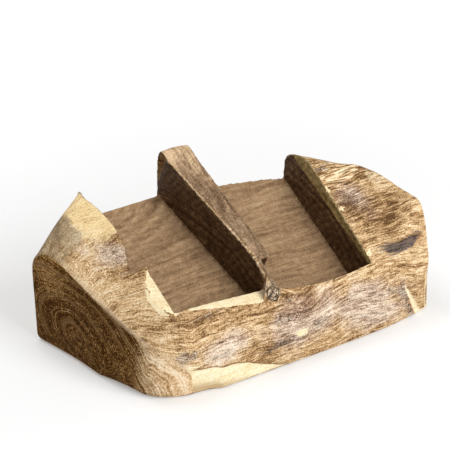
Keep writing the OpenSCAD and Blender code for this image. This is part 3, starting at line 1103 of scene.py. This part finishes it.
def floor_material():
    """A pale floor that takes the shadow, and glows to white away from the block where it is seen."""
    g = Graph("pale_floor")
    path = g.add("LightPath")
    seen = g.math("MAXIMUM", path.outputs["Is Camera Ray"], path.outputs["Is Glossy Ray"])
    seen = g.math("MAXIMUM", seen, path.outputs["Is Transmission Ray"])
    diffuse = g.add("BsdfDiffuse", Color=(0.85, 0.85, 0.85))
    length = g.add("VectorMath")
    length.operation = "LENGTH"
    g.give(length.inputs[0], g.add("TexCoord").outputs["Object"])
    away = length.outputs["Value"]
    strength = g.plus(g.step(away, 0.3, 1.0, 1.7, 3.6), g.step(away, 1.0, 2.6, 0, 1.7))
    glow = g.add("Emission", Color=(1, 1, 1), Strength=strength)
    return g.show(g.mixed(g.times(seen, FLOOR_GLOW_SHARE), diffuse, glow))


# Pieces

def make_block():
    mesh = sculpt_block()
    mesh.materials.append(wood_material())
    piece = new_object("carved_root_block", mesh)
    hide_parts("root_block")
    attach(piece, "root")


def knot_spots():
    """Points of the knot's face, ring by ring from its middle, to its side and up."""
    spots = [(0.0, 0.0)]
    for j in range(1, KNOT_RINGS + 1):
        share = j / KNOT_RINGS
        for k in range(KNOT_AROUND):
            a = 2 * math.pi * k / KNOT_AROUND
            lobes = 1 + math.sin(3 * a + 1) * 0.6 + math.sin(7 * a) * 0.4
            r = (KNOT_R + 0.2) * share * (1 - 0.025 * share ** 2 * lobes)
            spots.append((r * math.cos(a), r * math.sin(a)))
    return np.array(spots)


def knot_mesh():
    """A lumpy plug just under the surface round it: its face, then its wall, then its inner end."""
    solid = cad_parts["knot_plug"].data
    tree = BVHTree.FromPolygons([v.co / MM for v in solid.vertices], [f.vertices[:] for f in solid.polygons])
    spots = knot_spots()
    flat = np.concatenate([spots, np.zeros((len(spots), 1))], 1)
    dip = np.maximum(0.1 + 1.5 * noise(flat, 4.2, 41, 2) + 0.6 * noise(flat, 1.6, 42), -0.7)
    points = []
    for (s, t), d in zip(spots, dip):
        out = KNOT_SIDE * s + KNOT_UP * t
        inward = min(1, (KNOT_R - 0.1) / max(math.hypot(s, t), 0.1))
        start = KNOT_AT + out * inward + KNOT_AXIS * 40
        hit = np.array(tree.ray_cast(Vector(start), Vector(-KNOT_AXIS))[0])
        points.append(KNOT_AT + out + KNOT_AXIS * ((hit - KNOT_AT) @ KNOT_AXIS - d))
    inner_end = KNOT_AT - KNOT_AXIS * (KNOT_DEPTH - 0.1)
    rim = points[-KNOT_AROUND:]
    for depth in KNOT_WALL_STEPS:
        for top, (s, t) in zip(rim, spots[-KNOT_AROUND:]):
            low = inner_end + KNOT_SIDE * s + KNOT_UP * t
            points.append(top + (low - top) * depth)
    last = len(points) - KNOT_AROUND
    points.append(inner_end)
    turns = [(k, (k + 1) % KNOT_AROUND) for k in range(KNOT_AROUND)]
    faces = [(0, 1 + k, 1 + m) for k, m in turns]
    faces += band_faces(1, KNOT_RINGS + len(KNOT_WALL_STEPS), KNOT_AROUND)
    faces += [(len(points) - 1, last + m, last + k) for k, m in turns]
    return mesh_of("grey_knot", points, faces)


def make_knot():
    mesh = knot_mesh()
    surface = Surface(mesh)
    surface.store("knot_place", surface.p - KNOT_AT)
    for face in mesh.polygons:
        face.use_smooth = True
    mesh.materials.append(knot_material())
    piece = new_object("grey_knot", mesh)
    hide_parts("knot_plug")
    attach(piece, "root")


def make_felt(node, material):
    """A felt disc with a soft, slightly uneven edge."""
    lo, hi = (np.array(c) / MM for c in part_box(node))
    centre, radius = (lo + hi) / 2, (hi[0] - lo[0]) / 2
    bevel = 0.16
    half = [(0.3, 0), (0.7, 0), (radius - PAD_SOFT, 0), (radius - bevel, bevel), (radius, PAD_SOFT)]
    profile = [(r, hi[2] - d) for r, d in half] + [(r, lo[2] + d) for r, d in reversed(half)]
    points = []
    for r, z in profile:
        for k in range(PAD_AROUND):
            a = 2 * math.pi * k / PAD_AROUND
            lobes = 1 + math.sin(5 * a + centre[0]) * 0.6 + math.sin(11 * a + centre[1]) * 0.4
            r_k = r * (1 - 0.012 * lobes)
            points.append((centre[0] + r_k * math.cos(a), centre[1] + r_k * math.sin(a), z))
    faces = band_faces(0, len(profile), PAD_AROUND)
    faces.append(tuple(range(PAD_AROUND)))
    faces.append(tuple(reversed(range(len(points) - PAD_AROUND, len(points)))))
    mesh = mesh_of(node.replace("pad", "disc"), points, faces)
    surface = Surface(mesh)
    surface.store("place", surface.p)
    for face in mesh.polygons:
        face.use_smooth = len(face.vertices) == 4
    mesh.materials.append(material)
    piece = new_object(node.replace("pad", "disc"), mesh)
    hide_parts(node)
    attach(piece, "root")


# Stage

def make_stage():
    size = FLOOR_REACH
    points = [(-size, -size, 0), (size, -size, 0), (size, size, 0), (-size, size, 0)]
    mesh = mesh_of("floor", points, [(0, 1, 2, 3)])
    mesh.materials.append(floor_material())
    new_object("floor", mesh)


def make_light(name, place, size, power):
    data = bpy.data.lights.new(name, "AREA")
    data.shape = "DISK"
    data.size = size * MM
    data.energy = power
    lamp = new_object(name, data)
    lamp.location = Vector(place) * MM
    lamp.rotation_euler = (Vector(LAMP_AIM) - Vector(place)).to_track_quat("-Z", "Y").to_euler()


def make_world():
    """Soft white light from all round, and plain white where the camera sees past the floor."""
    g = Graph("studio", "worlds")
    seen = g.add("LightPath").outputs["Is Camera Ray"]
    lights = [g.add("Background", Color=(1, 1, 1), Strength=strength) for strength in (WORLD_STRENGTH, 1.0)]
    bpy.context.scene.world = g.show(g.mixed(seen, *lights), "OutputWorld")


def make_camera():
    a, e = math.radians(CAMERA_AZIMUTH), math.radians(CAMERA_ELEVATION)
    back = Vector((math.sin(a) * math.cos(e), -math.cos(a) * math.cos(e), math.sin(e)))
    data = bpy.data.cameras.new("camera")
    data.lens = CAMERA_LENS
    data.sensor_width = SENSOR_WIDTH
    camera = new_object("camera", data)
    camera.location = (Vector(CAMERA_TARGET) + back * CAMERA_DISTANCE) * MM
    camera.rotation_euler = (-back).to_track_quat("-Z", "Y").to_euler()
    bpy.context.scene.camera = camera


make_camera()
make_block()
make_knot()
felt = felt_material()
for node in sorted(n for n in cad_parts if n.startswith("felt_pad")):
    make_felt(node, felt)
make_stage()
make_world()
for name, (place, size, power) in LAMPS.items():
    make_light(name, place, size, power)
bpy.context.scene.view_settings.view_transform = "Standard"
